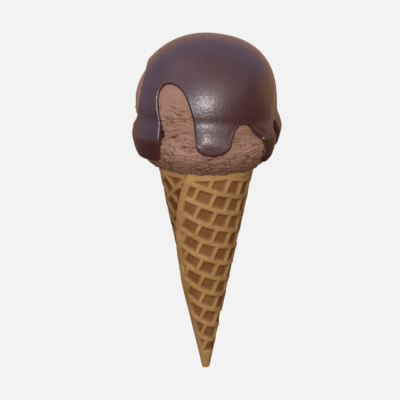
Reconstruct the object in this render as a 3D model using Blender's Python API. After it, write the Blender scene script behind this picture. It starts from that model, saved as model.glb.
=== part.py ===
"""Dipped ice cream cone, lying on its back.

A rolled sugar cone carries one scoop of chocolate ice cream, and a thin chocolate coat covers
the scoop and runs down it in drips. Three solids: wafer_cone, ice_cream and chocolate_coat.
Each is modelled standing upright, with the sharp point of the cone's surface at the origin and
+Z along the cone. An empty then lays all three down, so that the scoop rests on a small flat
of its collar and the cone rests on its tip. Units are metres.
"""
import math

import bmesh
import bpy
from mathutils import Matrix, Vector

# ---- driving dimensions ---------------------------------------------------------------------
HALF_ANGLE = math.radians(11.2)      # of the cone's outer surface
TIP_SLANT = 0.0095                   # the blunt tip, along the slope from the sharp point
RIM_SLANT = 0.1240                   # the mouth, hidden inside the scoop
TIP_ROUND = 0.0008
SHEET = 0.0014                       # step where the outer lap of the baked sheet ends
STEP_SHARE = 0.5                     # part of the step that stands proud; the rest is sunk
EASE_AFTER = 0.20                    # turns in which the outer lap settles onto the plain cone
EASE_BEFORE = 0.12                   # turns in which the inner lap dips to pass under it
WALL = 0.0030                        # from the plain cone to the bore
BORE_END_R = 0.0009                  # radius of the bore where it ends, above the closed tip

FLAP_LOW = math.radians(-76)         # azimuth of the outer lap's edge near the tip
FLAP_SWEEP = math.radians(54)        # how far the edge swings round by the scoop
FLAP_START = 0.045                   # the swing starts here, along the slope
FLAP_END = 0.1175                    # and is complete here
FLAP_CURVE = 1.6

PITCH_ALONG = 0.0084                 # stamped pockets: spacing along a row
PITCH_ACROSS = 0.0085                # and from row to row
BOND = 0.48                          # each row is shifted by this part of the pitch
POCKET_WIDE = 0.0060
POCKET_HIGH = 0.0055
POCKET_DEEP = 0.0009
POCKET_DRAFT = 0.80                  # the floor's size as a part of the mouth's
ROW_SLOPE = math.radians(-22.5)      # the rows fall to the right on the flat sheet
FIRST_POCKET = (-0.0010, 0.1059)     # centre of one pocket on the flat sheet
SHEET_BORDER = 0.0035                # plain margin along the lap's edge
RIM_BORDER = 0.0105                  # plain margin below the mouth
TIP_BORDER = 0.0260                  # the grid fades out this far from the sharp point

BALL_Z = 0.1445                      # centre of the scoop above the sharp point
BALL_R = 0.0318
BALL_FLAT = 0.0008                   # the top is this much lower than a true ball
SHOULDER = 0.0013                    # the scoop is fuller by this much high on its right,
SHOULDER_AT = math.radians(48)       # most of all at this angle from its top
SHOULDER_REACH = math.radians(42)    # and no more this far from there
COLLAR_R = 0.0332                     # the collar squeezed out under the scoop
CREASE_DROP = 0.0105                 # mean drop of the crease above the collar from the ball's centre
CREASE_DIP = 0.0022                  # the crease hangs lower in front by this much
DIP_TURN = math.radians(30)          # and the low place is turned this far to the left
SCOOP_EDGE_Z = 0.1138                # where the scoop's lower edge meets the cone
EDGE_WAVE = 0.0013                   # the lower edge hangs lower at the sides by this much
COLLAR_SHIFT = 0.0006                # the collar sits this far over to the right
UNEVEN = 0.00030                     # waviness of the collar

COAT = 0.0010                        # thickness of the chocolate
GAP = 0.0003                         # left between touching pieces

REST_CHOP = 0.0024                   # depth of the flat pressed on the collar where it lies
POOL = 0.0014                        # the coat is thicker by this much where it set lying down,
POOL_AT = math.radians(98)           # at this angle from the scoop's top, at the back,
POOL_REACH = math.radians(36)        # and no more this far from there
TIP_CHOP = 0.00015                   # depth of the flat at the tip

ROUND_STEPS = 48                     # facets round the turned pieces
BALL_STEPS = 10                      # facets from the top of the scoop to the crease


def lerp(a, b, t):
    return a + (b - a) * t


def smooth(t):
    t = min(max(t, 0.0), 1.0)
    return t * t * (3 - 2 * t)


# ---- the rolled sheet -----------------------------------------------------------------------
def flap_azimuth(slant):
    """Azimuth of the outer lap's edge; azimuth 0 is the front, -Y."""
    swing = max(slant - FLAP_START, 0.0) / (FLAP_END - FLAP_START)
    return FLAP_LOW + FLAP_SWEEP * swing ** FLAP_CURVE


def cone_radius(slant):
    """Radius of the plain outer cone, rounded in at the tip."""
    radius = slant * math.sin(HALF_ANGLE)
    rise = slant - TIP_SLANT
    if rise < TIP_ROUND:
        radius -= TIP_ROUND - math.sqrt(max(TIP_ROUND ** 2 - (TIP_ROUND - rise) ** 2, 0.0))
    return radius


def lap_offset(slant, turn):
    """How far the surface stands off the plain cone; the laps are pressed together near the tip."""
    step = SHEET * smooth((slant - 0.012) / 0.035)
    proud = STEP_SHARE * (1 - smooth(turn / EASE_AFTER))
    sunk = (1 - STEP_SHARE) * (1 - smooth((1 - turn) / EASE_BEFORE))
    return step * (proud - sunk)


def around(radius, azimuth, height):
    return Vector((radius * math.sin(azimuth), -radius * math.cos(azimuth), height))


def rolled_point(slant, turn, grow):
    """Point of the outer surface; turn runs from 0 at the lap's edge to 1 behind it."""
    radius = cone_radius(slant) + lap_offset(slant, turn) + grow
    swing = (flap_azimuth(slant) - FLAP_LOW) * abs(1 - 2 * turn)
    azimuth = FLAP_LOW + swing + turn * math.tau - grow / radius
    return around(radius, azimuth, slant * math.cos(HALF_ANGLE))


def rolled_body(name, grow=0.0):
    """Closed solid of the rolled sheet, before its bore and pockets are cut."""
    slants = [TIP_SLANT, TIP_SLANT + 0.2 * TIP_ROUND, TIP_SLANT + TIP_ROUND]
    slants += [lerp(0.016, RIM_SLANT, row / 7) for row in range(8)]
    if grow:
        slants.append(RIM_SLANT + grow)
    bm = bmesh.new()
    bmesh.ops.create_grid(bm, x_segments=ROUND_STEPS, y_segments=len(slants) - 1, size=0.5)
    last = len(slants) - 1
    columns = {0: [], ROUND_STEPS: []}
    for vert in bm.verts:
        column = round((vert.co.x + 0.5) * ROUND_STEPS)
        row = round((vert.co.y + 0.5) * last)
        vert.co = rolled_point(slants[row], column / ROUND_STEPS, grow)
        if column in columns:
            columns[column].append(vert)
    sides = [set(column) for column in columns.values()]
    ends = [edge for edge in bm.edges if any(set(edge.verts) <= side for side in sides)]
    bmesh.ops.bridge_loops(bm, edges=ends)
    bmesh.ops.holes_fill(bm, edges=[e for e in bm.edges if e.is_boundary], sides=0)
    twisted = [face for face in bm.faces if len(face.verts) == 4]
    bmesh.ops.triangulate(bm, faces=twisted, quad_method="FIXED")
    return finish_mesh(bm, name)


# ---- meshes, objects and cutting ------------------------------------------------------------
def finish_mesh(bm, name):
    bmesh.ops.recalc_face_normals(bm, faces=bm.faces)
    mesh = bpy.data.meshes.new(name)
    bm.to_mesh(mesh)
    bm.free()
    return bpy.data.objects.new(name, mesh)


def turned_body(name, profile, shape):
    """Turn a profile of (radius, height) pairs, which starts and ends on the axis, then shape it."""
    bm = bmesh.new()
    verts = [bm.verts.new((radius, 0, height)) for radius, height in profile]
    edges = [bm.edges.new(pair) for pair in zip(verts, verts[1:])]
    bmesh.ops.spin(bm, geom=verts + edges, cent=(0, 0, 0), axis=(0, 0, 1), angle=math.tau,
                   steps=ROUND_STEPS, use_merge=True)
    bmesh.ops.remove_doubles(bm, verts=bm.verts, dist=1e-5)
    for vert in bm.verts:
        vert.co = shape(vert.co)
    return finish_mesh(bm, name)


def cut(piece, cutter):
    modifier = piece.modifiers.new("cut " + cutter.name, "BOOLEAN")
    modifier.operation = "DIFFERENCE"
    modifier.solver = "EXACT"
    modifier.object = cutter


def as_cutter(cutter, cutters, holder):
    cutter.hide_render = True
    cutter.display_type = "WIRE"
    cutters.objects.link(cutter)
    cutter.parent = holder
    return cutter


def material(name, colour, roughness):
    result = bpy.data.materials.new(name)
    result.use_nodes = True
    shader = result.node_tree.nodes["Principled BSDF"]
    shader.inputs["Base Color"].default_value = (*colour, 1)
    shader.inputs["Roughness"].default_value = roughness
    shader.inputs["Metallic"].default_value = 0.0
    return result


def as_piece(piece, parts, holder, surface):
    piece.data.materials.append(surface)
    piece.data.shade_smooth()
    piece.data.set_sharp_from_angle(angle=math.radians(35))
    piece.parent = holder
    parts.objects.link(piece)
    return piece


# ---- wafer cone -----------------------------------------------------------------------------
def pocket_frame(x, y):
    """Frame of the pocket whose centre is (x, y) on the flat sheet, or None on the plain margins."""
    slant = math.hypot(x, y)
    if not TIP_BORDER < slant < RIM_SLANT - RIM_BORDER:
        return None
    azimuth = math.atan2(x, y) / math.sin(HALF_ANGLE)
    edge = flap_azimuth(slant)
    margin = SHEET_BORDER + 0.6 * POCKET_WIDE
    start = (azimuth - edge) * slant * math.sin(HALF_ANGLE)
    end = (edge + math.tau - azimuth) * slant * math.sin(HALF_ANGLE)
    if start < margin or end < 0.5 * POCKET_WIDE:
        return None
    turn = (azimuth - edge) / math.tau
    radius = cone_radius(slant) + lap_offset(slant, turn)
    place = around(radius, azimuth, slant * math.cos(HALF_ANGLE))
    normal = Vector((math.sin(azimuth), -math.cos(azimuth), -math.tan(HALF_ANGLE))).normalized()
    sideways = Vector((math.cos(azimuth), math.sin(azimuth), 0))
    upright = Matrix((sideways, normal.cross(sideways), normal)).transposed().to_4x4()
    along_row = Matrix.Rotation(ROW_SLOPE + math.atan2(x, y), 4, "Z")
    return Matrix.Translation(place) @ upright @ along_row


def stamped_pockets(name):
    """One cutter for all pockets: drafted blocks in a brick bond that follows the rolled sheet."""
    full_turn = math.tau * math.sin(HALF_ANGLE)
    corner = math.sqrt(0.5)
    block = Matrix.Diagonal((POCKET_WIDE, POCKET_HIGH, 2 * POCKET_DEEP, 1))
    block = block @ Matrix.Rotation(math.radians(45), 4, "Z")
    reach = range(-24, 25)
    bm = bmesh.new()
    for row in reach:
        for column in reach:
            along = (column + row * BOND) * PITCH_ALONG
            down = row * PITCH_ACROSS
            x = FIRST_POCKET[0] + along * math.cos(ROW_SLOPE) + down * math.sin(ROW_SLOPE)
            y = FIRST_POCKET[1] + along * math.sin(ROW_SLOPE) - down * math.cos(ROW_SLOPE)
            found = pocket_frame(x, y) if y > 0 and abs(math.atan2(x, y)) < full_turn else None
            if not found:
                continue
            bmesh.ops.create_cone(bm, cap_ends=True, segments=4, radius1=POCKET_DRAFT * corner,
                                  radius2=(2 - POCKET_DRAFT) * corner, depth=1,
                                  matrix=found @ block)
    return finish_mesh(bm, name)


def bore(name, inset):
    """A round bore this far inside the plain cone, as a long frustum that runs out through the mouth."""
    slope = math.tan(HALF_ANGLE)
    low = (inset + BORE_END_R) / slope
    high = RIM_SLANT + 0.002
    bm = bmesh.new()
    place = Matrix.Translation((0, 0, (low + high) / 2))
    bmesh.ops.create_cone(bm, cap_ends=True, segments=ROUND_STEPS, radius1=BORE_END_R,
                          radius2=high * slope - inset, depth=high - low, matrix=place)
    return finish_mesh(bm, name)


# ---- scoop ----------------------------------------------------------------------------------
def ball_radius(angle):
    """The scoop as turned, a little lower on top than a true ball; angle is from its top."""
    return BALL_R - BALL_FLAT * max(math.cos(angle), 0.0) ** 3


def scoop_outline(grow):
    """Outline of the ball, its crease and the collar, from the top down to the cone."""
    crease = math.acos(-CREASE_DROP / BALL_R)
    outline = []
    for step in range(BALL_STEPS + 1):
        angle = crease * step / BALL_STEPS
        radius = ball_radius(angle) + grow
        outline.append((radius * math.sin(angle), BALL_Z + radius * math.cos(angle)))
    collar = [(0.960, 0.0119), (0.995, 0.0138), (1.0, 0.0163), (0.980, 0.0195), (0.930, 0.0225),
              (0.865, 0.0250), (0.780, 0.0275)]
    for part, drop in collar:
        outline.append((part * COLLAR_R + grow, BALL_Z - drop - 0.5 * grow))
    return outline


def hump(value, middle, reach):
    """One smooth hump of height 1 that fades to nothing at middle +- reach."""
    return smooth(1 - abs(value - middle) / reach)


def uneven(point):
    """Move a point of the turned scoop or coat to where the uneven scoop has it."""
    flat = Vector((point.x, point.y, 0))
    drop = BALL_Z - point.z
    if flat.length < 0.0205 and drop > 0:
        return point
    azimuth = math.atan2(point.x, -point.y)
    lean = max(math.sin(azimuth), 0.0) ** 1.5
    from_top = math.atan2(flat.length, -drop)
    outward = (point - Vector((0, 0, BALL_Z))).normalized()
    moved = point + outward * (SHOULDER * lean * hump(from_top, SHOULDER_AT, SHOULDER_REACH))
    wave = math.sin(3 * azimuth + 0.6) + 0.6 * math.sin(5 * azimuth + 2.1) + 0.4 * math.sin(9 * azimuth)
    on_collar = smooth((drop - 0.008) / 0.008)
    moved += flat.normalized() * (UNEVEN * wave * on_collar)
    moved.x += COLLAR_SHIFT * on_collar
    moved.z -= CREASE_DIP * math.cos(azimuth + DIP_TURN) * hump(drop, CREASE_DROP + 0.002, 0.009)
    moved.z += EDGE_WAVE * math.cos(2 * azimuth) * smooth((drop - 0.018) / 0.012)
    return moved


def scoop_profile():
    """Scoop with a plug that reaches into the wafer's wall; the room for the wafer trims it."""
    slope = math.tan(HALF_ANGLE)
    plug_end = WALL / slope
    outline = scoop_outline(0.0)
    outline.append((SCOOP_EDGE_Z * slope - WALL / 2, SCOOP_EDGE_Z))
    outline.append((WALL / 2, plug_end))
    outline.append((0.0, plug_end))
    return [(0.0, outline[0][1])] + outline[1:]


# ---- chocolate coat -------------------------------------------------------------------------
# The coat's edge, once round the scoop: where each drip ends and each window's arch stands.
# Azimuth in degrees, height from the ball's centre in millimetres, azimuth of the steep side
# before the next one.
EDGE = [
    (-68, -22, -38), (-30, 12, -10), (4, -18.5, 20), (31, -5.5, 49), (57, -23, 66), (71, -5, 77),
    (88, -19.5, 97), (106, 4, 117), (128, -21, 141), (152, 3, 160), (180, -9, 199),
    (205, 1, 211), (219, -20, 229), (246, -6, 261), (292, -22, 322),
]
SIDE_POWER = 2.6                     # how square the ends of windows and drips are
FAR_WINDOW = [(-88, 19, 22), (-112, -26, 10)]     # the leaning window: top and foot, with half widths
CUT_RADII = (0.016, 0.046)           # the cuts run between these distances from the scoop's axis


def ray_slope(height):
    """Slope of the ray from the ball's centre that leaves the coat at this height."""
    reach = BALL_R + GAP + COAT
    return height / (math.sqrt(reach ** 2 - height ** 2) if height > 0 else reach)


def coat_edge(azimuth):
    """Slope of the ray through the coat's edge at this azimuth."""
    first = EDGE[0][0]
    degrees = (math.degrees(azimuth) - first) % 360 + first
    for (start, high, side), (end, low, _) in zip(EDGE, EDGE[1:]):
        if start <= degrees <= end:
            middle = (high + low) / 2
            near, far, height = (start, side, high) if degrees <= side else (end, side, low)
            part = (degrees - near) / (far - near)
            level = middle + (height - middle) * (1 - part ** SIDE_POWER) ** (1 / SIDE_POWER)
            return ray_slope(level / 1000)
    raise ValueError("azimuth outside the round")


def coat_profile():
    """Closed outline of the coat before its windows are cut; its outside runs over the crease."""
    inner = scoop_outline(GAP)
    outer = scoop_outline(GAP + COAT)
    del outer[BALL_STEPS:BALL_STEPS + 2]
    closed = [(0.0, inner[0][1])] + inner[1:]
    return closed + outer[:0:-1] + [(0.0, outer[0][1])]


def poured(point):
    """Like uneven, but the coat's outside bulges at the back, where the chocolate pooled and set."""
    arm = point - Vector((0, 0, BALL_Z))
    middle = around(math.sin(POOL_AT), math.pi, math.cos(POOL_AT))
    outside = smooth((arm.length - BALL_R - GAP) / COAT)
    return uneven(point) + arm.normalized() * (POOL * outside * hump(arm.angle(middle), 0.0, POOL_REACH))


def below_edge(name):
    """Everything below the coat's edge: a ragged ring of radial walls round the ball's centre."""
    steps = 108
    bm = bmesh.new()
    bmesh.ops.create_circle(bm, segments=steps, radius=1.0)
    inner = list(bm.verts)
    ring = bmesh.ops.extrude_edge_only(bm, edges=list(bm.edges))["geom"]
    outer = [item for item in ring if isinstance(item, bmesh.types.BMVert)]
    for verts, radius in zip((inner, outer), CUT_RADII):
        for vert in verts:
            azimuth = math.atan2(vert.co.x, -vert.co.y)
            vert.co = around(radius, azimuth, BALL_Z + radius * coat_edge(azimuth))
    walls = bmesh.ops.extrude_face_region(bm, geom=list(bm.faces))["geom"]
    for item in walls:
        if isinstance(item, bmesh.types.BMVert):
            item.co.z = BALL_Z - 0.060
    return finish_mesh(bm, name)


def leaning_window(name):
    """The bare patch far round the left, as a radial prism with an arched top."""
    (top, high, top_half), (foot, low, foot_half) = FAR_WINDOW
    outline = []
    for step in range(25):
        sweep = math.pi * step / 24
        across = math.copysign(abs(math.cos(sweep)) ** 0.4, -math.cos(sweep))
        fall = 1 - math.sin(sweep) ** 0.8
        middle = lerp(top, foot, fall) + lerp(top_half, foot_half, fall) * across
        outline.append((math.radians(middle), ray_slope(lerp(high, low, fall) / 1000)))
    bm = bmesh.new()
    rings = []
    for radius in CUT_RADII:
        places = [around(radius, azimuth, BALL_Z + radius * slope) for azimuth, slope in outline]
        verts = [bm.verts.new(place) for place in places]
        rings.append([bm.edges.new(pair) for pair in zip(verts, verts[1:] + verts[:1])])
        bmesh.ops.contextual_create(bm, geom=rings[-1])
    bmesh.ops.bridge_loops(bm, edges=rings[0] + rings[1])
    return finish_mesh(bm, name)


# ---- laying it down -------------------------------------------------------------------------
def depth(piece, angle):
    """How far a piece reaches below the upright origin when the cone lies at this slope."""
    down = Vector((0, math.cos(angle), -math.sin(angle)))
    return max(down.dot(vert.co) for vert in piece.data.vertices)


def lying_angle(wafer, scoop):
    """Slope of the cone's axis at which the collar's flat and the tip both touch the ground."""
    low = math.radians(10)
    high = math.radians(20)
    for _ in range(40):
        angle = (low + high) / 2
        if depth(scoop, angle) - REST_CHOP > depth(wafer, angle) - TIP_CHOP:
            low = angle
        else:
            high = angle
    return angle


def ground(name, height, angle):
    """A slab whose top is the ground, given in the upright frame."""
    bm = bmesh.new()
    bmesh.ops.create_cube(bm, size=1, matrix=Matrix.Diagonal((0.2, 0.3, 0.05, 1)))
    down = Vector((0, math.cos(angle), -math.sin(angle)))
    ahead = Vector((0, math.sin(angle), math.cos(angle)))
    turn = Matrix((Vector((-1, 0, 0)), ahead, down)).transposed().to_4x4()
    place = Matrix.Translation(down * (height + 0.025) + ahead * 0.09)
    bmesh.ops.transform(bm, matrix=place @ turn, verts=bm.verts)
    return finish_mesh(bm, name)


def clear_scene():
    for thing in list(bpy.data.objects):
        bpy.data.objects.remove(thing, do_unlink=True)


def world_box(pieces):
    bpy.context.view_layer.update()
    graph = bpy.context.evaluated_depsgraph_get()
    points = []
    for piece in pieces:
        shaped = piece.evaluated_get(graph)
        points += [shaped.matrix_world @ vert.co for vert in shaped.data.vertices]
    low = Vector([min(p[axis] for p in points) for axis in range(3)])
    high = Vector([max(p[axis] for p in points) for axis in range(3)])
    return low, high


def build():
    clear_scene()
    parts = bpy.data.collections.new("ice_cream_cone")
    cutters = bpy.data.collections.new("cutters")
    for collection in (parts, cutters):
        bpy.context.scene.collection.children.link(collection)
    holder = bpy.data.objects.new("lying_down", None)
    cutters.objects.link(holder)

    wafer = as_piece(rolled_body("wafer_cone"), parts, holder,
                     material("baked wafer", (0.33, 0.16, 0.06), 0.6))
    scoop = as_piece(turned_body("ice_cream", scoop_profile(), uneven), parts, holder,
                     material("chocolate ice cream", (0.30, 0.16, 0.11), 0.6))
    coat = as_piece(turned_body("chocolate_coat", coat_profile(), poured), parts, holder,
                    material("chocolate coating", (0.07, 0.03, 0.03), 0.3))

    cut(wafer, as_cutter(bore("wafer_bore", WALL), cutters, holder))
    cut(wafer, as_cutter(stamped_pockets("pockets"), cutters, holder))
    room = as_cutter(rolled_body("room_for_wafer", GAP), cutters, holder)
    cut(room, as_cutter(bore("room_for_plug", WALL + GAP), cutters, holder))
    cut(scoop, room)
    cut(coat, as_cutter(below_edge("below_edge"), cutters, holder))
    cut(coat, as_cutter(leaning_window("leaning_window"), cutters, holder))

    angle = lying_angle(wafer, scoop)
    table = as_cutter(ground("table", depth(wafer, angle) - TIP_CHOP, angle), cutters, holder)
    cut(wafer, table)
    cut(scoop, table)
    cut(coat, table)

    holder.rotation_euler = (angle - math.pi / 2, 0, 0)
    low, high = world_box([wafer, scoop, coat])
    holder.location = (-(low.x + high.x) / 2, -(low.y + high.y) / 2, -low.z)
    bpy.context.view_layer.update()
    return wafer, scoop, coat


build()
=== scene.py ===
# %% [markdown]
# # A dipped ice cream cone
# One scoop of chocolate ice cream sits in a rolled waffle cone, under a coating of chocolate that
# was poured over it and set in drips. The construction model already says how big each piece is
# and where it lies. This lesson gives each piece its real surface: the wafer is stamped flat and
# then rolled, the scoop is turned and then torn, and the coating is laid over both.

# %% Load the construction model
import math

import bmesh
import bpy
from mathutils import Matrix, Vector, noise
from mathutils.kdtree import KDTree


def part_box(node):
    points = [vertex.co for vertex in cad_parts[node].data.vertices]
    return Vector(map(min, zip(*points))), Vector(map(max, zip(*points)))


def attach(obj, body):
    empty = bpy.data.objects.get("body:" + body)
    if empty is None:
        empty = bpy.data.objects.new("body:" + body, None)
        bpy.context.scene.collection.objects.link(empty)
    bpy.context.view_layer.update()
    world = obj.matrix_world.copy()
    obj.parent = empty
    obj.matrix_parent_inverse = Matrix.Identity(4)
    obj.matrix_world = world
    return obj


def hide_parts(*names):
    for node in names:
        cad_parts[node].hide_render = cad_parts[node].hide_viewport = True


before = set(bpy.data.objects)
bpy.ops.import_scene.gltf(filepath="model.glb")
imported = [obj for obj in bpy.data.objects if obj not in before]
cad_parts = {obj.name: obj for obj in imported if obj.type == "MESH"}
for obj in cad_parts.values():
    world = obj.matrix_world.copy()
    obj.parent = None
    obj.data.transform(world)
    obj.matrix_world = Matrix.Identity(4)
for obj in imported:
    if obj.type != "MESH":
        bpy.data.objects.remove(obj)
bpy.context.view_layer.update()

# %% [markdown]
# ## An upright workshop
# The cone lies on its back, because it can't stand. It is much easier to shape it upright: the
# sharp point of the cone's surface is the origin, +Z runs along the cone, and azimuth 0 faces the
# front, -Y. All lengths are in millimetres. One matrix then lays a finished piece down and scales
# it to metres, and the vertices that would sink into the table are pressed flat on it.

# %% The upright frame and the way down
AXIS_RISE = math.radians(13.613)            # slope of the cone's axis as it lies
APEX_LIES = Vector((-0.00038, -0.09078, -0.00058))
LAID = Matrix.Translation(APEX_LIES) @ Matrix.Rotation(AXIS_RISE - math.pi / 2, 4, "X")
LAY_DOWN = LAID @ Matrix.Scale(0.001, 4)


def around(radius, azimuth, height):
    return Vector((radius * math.sin(azimuth), -radius * math.cos(azimuth), height))


def lerp(a, b, t):
    return a + (b - a) * t


def smooth(t):
    t = min(max(t, 0.0), 1.0)
    return t * t * (3 - 2 * t)


def hump(value, middle, reach):
    """One smooth hump of height 1 that fades to nothing at middle +- reach."""
    return smooth(1 - abs(value - middle) / reach)


def hand_over(bm, name, node, finish):
    """Lay a finished mesh down, press it flat where it rests, and give it to the frame."""
    bmesh.ops.transform(bm, matrix=LAY_DOWN, verts=bm.verts)
    for vert in bm.verts:
        vert.co.z = max(vert.co.z, 0.0)
    open_edges = sum(len(edge.link_faces) != 2 for edge in bm.edges)
    mesh = bpy.data.meshes.new(name)
    bm.to_mesh(mesh)
    bm.free()
    mesh.materials.append(finish)
    mesh.shade_smooth()
    piece = bpy.data.objects.new(name, mesh)
    bpy.context.scene.collection.objects.link(piece)
    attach(piece, "root")
    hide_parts(node)
    triangles = sum(len(face.vertices) - 2 for face in mesh.polygons)
    low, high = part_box(node)
    off_low = [round((min(v.co[i] for v in mesh.vertices) - low[i]) * 1000, 2) for i in range(3)]
    off_high = [round((max(v.co[i] for v in mesh.vertices) - high[i]) * 1000, 2) for i in range(3)]
    print(f"{name}: {triangles} triangles, {open_edges} open edges, off its solid by", off_low, off_high)
    return piece


# %% [markdown]
# ## Smooth lines through a few points
# The scoop's outline and the coating's edge are both drawn as a few points with a smooth line
# through them. A Catmull-Rom curve passes through every point, so the points can be read off and
# moved one at a time. The helper walks along the curve in steps of nearly equal length.

# %% A smooth line
def smooth_line(points, step):
    """Points every step or so along a Catmull-Rom curve through the given points."""
    last = len(points) - 1
    line = []
    for index in range(last):
        before, start, end, after = [points[min(max(index + offset, 0), last)] for offset in (-1, 0, 1, 2)]
        pieces = max(round((end - start).length / step), 1)
        for piece in range(pieces):
            t = piece / pieces
            line.append(0.5 * (2 * start + (end - before) * t
                               + (2 * before - 5 * start + 4 * end - after) * t ** 2
                               + (3 * start - before - 3 * end + after) * t ** 3))
    line.append(points[-1].copy())
    return line


# %% [markdown]
# ## The camera
# The picture is taken from 16 degrees above the cone's middle, from about 40 cm away, with a
# moderately long lens. In the upright frame that is a camera in front of the cone that looks
# slightly down on it. Laid down with everything else, it looks down on the table.

# %% Place the camera
CAMERA_RISE = math.radians(16.0)
CAMERA_AWAY = 403.5
LOOK_AT = Vector((-2.915, 0.0, 97.24))
LENS = 75.65                                # millimetres, on a sensor 36 mm wide

camera_data = bpy.data.cameras.new("camera")
camera_data.lens = LENS
camera_data.sensor_width = 36.0
camera_data.clip_start = 0.01
camera = bpy.data.objects.new("camera", camera_data)
bpy.context.scene.collection.objects.link(camera)
stand = LOOK_AT + around(CAMERA_AWAY * math.cos(CAMERA_RISE), 0.0, CAMERA_AWAY * math.sin(CAMERA_RISE))
tilt = Matrix.Rotation(math.pi / 2 - CAMERA_RISE, 4, "X")
camera.matrix_world = LAID @ Matrix.Translation(stand * 0.001) @ tilt
bpy.context.scene.camera = camera
print("camera stands at", [round(value, 3) for value in camera.matrix_world.translation])

# %% [markdown]
# ## Materials
# Each material is a Principled shader with a few procedural patterns in front of it. A colour is
# written as it looks on a screen, an sRGB hex value, and turned to linear light once. One helper
# adds any kind of node with its settings, numbers and links.

# %% Colours and nodes
def to_linear(text):
    """Linear RGBA of an sRGB hex colour."""
    channels = [int(text[place:place + 2], 16) / 255 for place in (0, 2, 4)]
    return tuple(c / 12.92 if c <= 0.04045 else ((c + 0.055) / 1.055) ** 2.4 for c in channels) + (1.0,)


def add_node(tree, kind, values=None, links=None, **settings):
    """Add a node with its settings, its sockets' own values and the links into it."""
    made = tree.nodes.new("ShaderNode" + kind)
    for name, value in settings.items():
        setattr(made, name, value)
    for socket, value in (values or {}).items():
        made.inputs[socket].default_value = value
    for socket, source in (links or {}).items():
        tree.links.new(source, made.inputs[socket])
    return made


def new_material(name, **shader_values):
    """An empty material with its Principled shader, whose plain values are set here."""
    made = bpy.data.materials.new(name)
    made.use_nodes = True
    shader = made.node_tree.nodes["Principled BSDF"]
    for socket, value in shader_values.items():
        shader.inputs[socket.replace("_", " ")].default_value = value
    return made, made.node_tree, shader


def ramp(tree, factor, *stops):
    """A colour ramp; each stop is a position and an sRGB hex colour."""
    made = add_node(tree, "ValToRGB", links={"Fac": factor})
    band = made.color_ramp
    while len(band.elements) < len(stops):
        band.elements.new(0.5)
    for element, (position, colour) in zip(band.elements, stops):
        element.position = position
        element.color = to_linear(colour)
    return made.outputs["Color"]


# %% [markdown]
# ### Baked wafer
# A waffle cone is a thin sheet of sweet batter, baked between two hot irons until it is golden.
# Where the iron pressed hardest, on the pockets' floors, it browns more and a little redder; the
# ribs stay paler. The surface is matt and dry, with a fine open crumb. The colour follows the
# sheet, so it reads two attributes that the mesh carries: "sheet", the place on the flat sheet in
# millimetres, and "pressed", 0 on a rib and 1 on a pocket's floor, with painted shade added on
# top, and a little more or less where the sheet baked darker or paler.

# %% Wafer material
def baked_wafer():
    made, tree, shader = new_material("baked wafer", Roughness=0.62, IOR=1.45)
    shader.inputs["Specular IOR Level"].default_value = 0.35
    sheet = add_node(tree, "Attribute", attribute_name="sheet").outputs["Vector"]
    pressed = add_node(tree, "Attribute", attribute_name="pressed").outputs["Fac"]
    patches = add_node(tree, "TexNoise", {"Scale": 0.11, "Detail": 3.0}, {"Vector": sheet})
    crumb = add_node(tree, "TexNoise", {"Scale": 1.3, "Detail": 4.0, "Roughness": 0.65}, {"Vector": sheet})
    # The attribute also carries painted shade and shadow: darker beside the flap's edge, on the cone's sides
    # and back, and on the pockets' upper walls.
    browned_and_painted_shade = add_node(tree, "Math", {1: 0.50}, {0: pressed}, operation="MULTIPLY")
    uneven_bake = add_node(tree, "Math", {1: 0.55, 2: -0.08}, {0: patches.outputs["Fac"]},
                           operation="MULTIPLY_ADD")
    speckle = add_node(tree, "Math", {1: 0.50, 2: -0.25}, {0: crumb.outputs["Fac"]},
                       operation="MULTIPLY_ADD")
    both = add_node(tree, "Math", links={0: browned_and_painted_shade.outputs[0], 1: uneven_bake.outputs[0]})
    bake_and_painted_shade = add_node(tree, "Math", links={0: both.outputs[0], 1: speckle.outputs[0]}, use_clamp=True)
    golden_to_brown = [(0.0, "B48E53"), (0.35, "936C39"), (0.75, "724921"), (1.0, "573214")]
    colour = ramp(tree, bake_and_painted_shade.outputs[0], *golden_to_brown)
    tree.links.new(colour, shader.inputs["Base Color"])
    pores = add_node(tree, "TexNoise", {"Scale": 2.4, "Detail": 3.0}, {"Vector": sheet})
    bump = add_node(tree, "Bump", {"Strength": 0.35, "Distance": 0.00025}, {"Height": pores.outputs["Fac"]})
    tree.links.new(bump.outputs["Normal"], shader.inputs["Normal"])
    return made


# %% [markdown]
# ### Churned chocolate ice cream
# Ice cream is a foam of milk fat, sugar water and small ice crystals. It is softly matt, light
# sinks a millimetre or so into it, and it has a fine icy grain. The grain would be some 50
# micrometres across, too fine to show, so it is drawn at about half a millimetre.

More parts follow.
